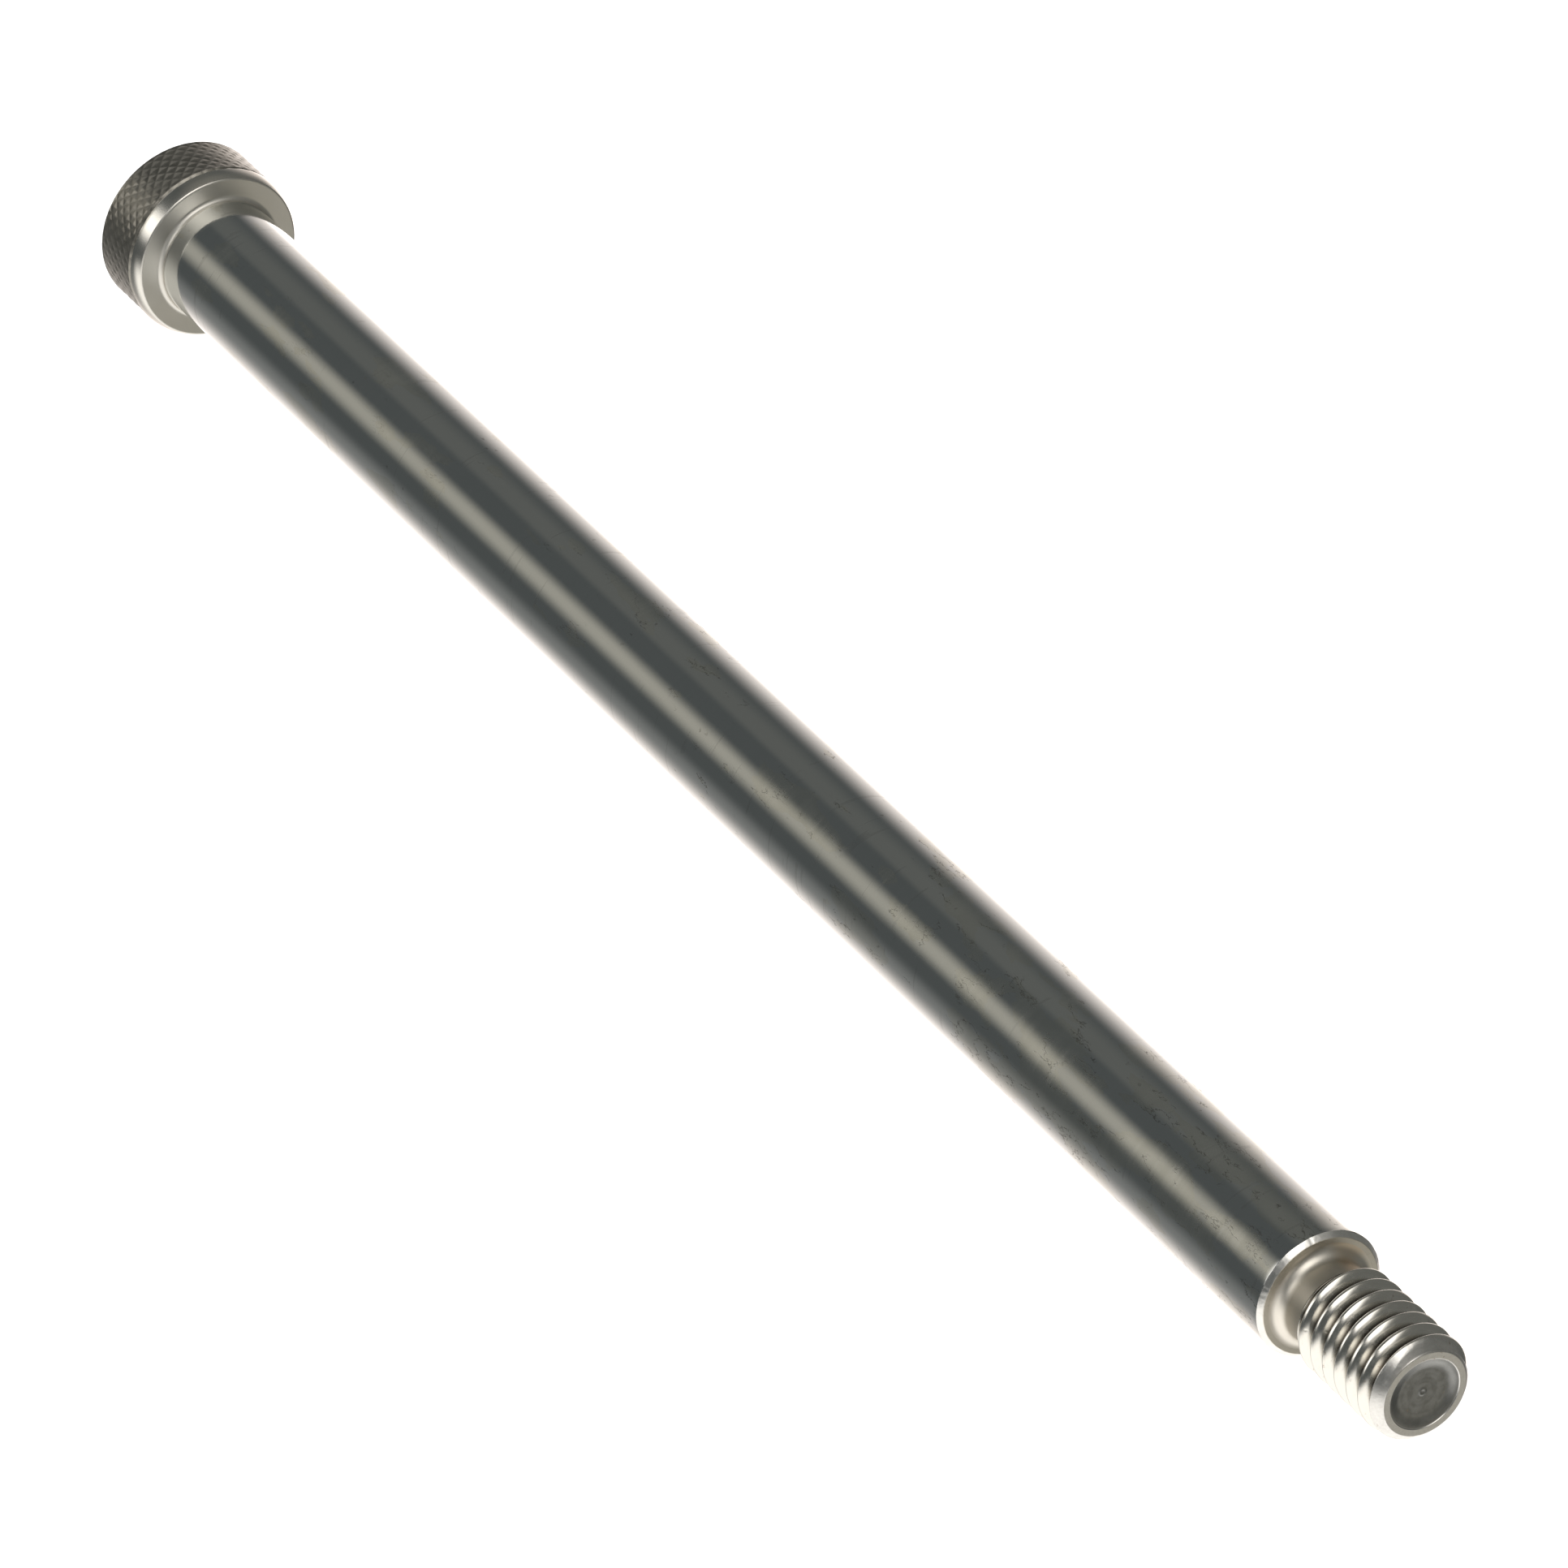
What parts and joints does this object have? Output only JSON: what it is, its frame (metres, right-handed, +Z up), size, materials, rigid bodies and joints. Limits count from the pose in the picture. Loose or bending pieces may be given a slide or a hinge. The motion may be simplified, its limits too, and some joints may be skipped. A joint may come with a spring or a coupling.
{
  "type": "shoulder screw",
  "caption": "Long socket head shoulder screw with a knurled round head, a ground pivot shoulder, a relief neck and a short cup point thread.",
  "frame": {"origin": "on the screw's axis, in the plane of the bearing face under the head, where the ground shoulder begins", "axes": "+X along the screw's axis, from the head towards the thread's point; the hex socket opens along -X; +Z up, with the screw lying on its side"},
  "size_m": [0.1714, 0.0134, 0.0136],
  "materials": {
    "knurled_steel": "diamond-knurled stainless steel, dull",
    "ground_steel": "ground and polished stainless steel, nearly a mirror, with fine scratches and oil smears",
    "turned_steel": "turned stainless steel, satin, with fine tool rings",
    "rolled_steel": "rolled stainless steel thread, bright, with small nicks"
  },
  "bodies": {
    "root": {"knurled_head": "knurled_steel", "ground_shoulder": "ground_steel", "relief_neck": "turned_steel", "cupped_thread": "rolled_steel"}
  },
  "joints": []
}
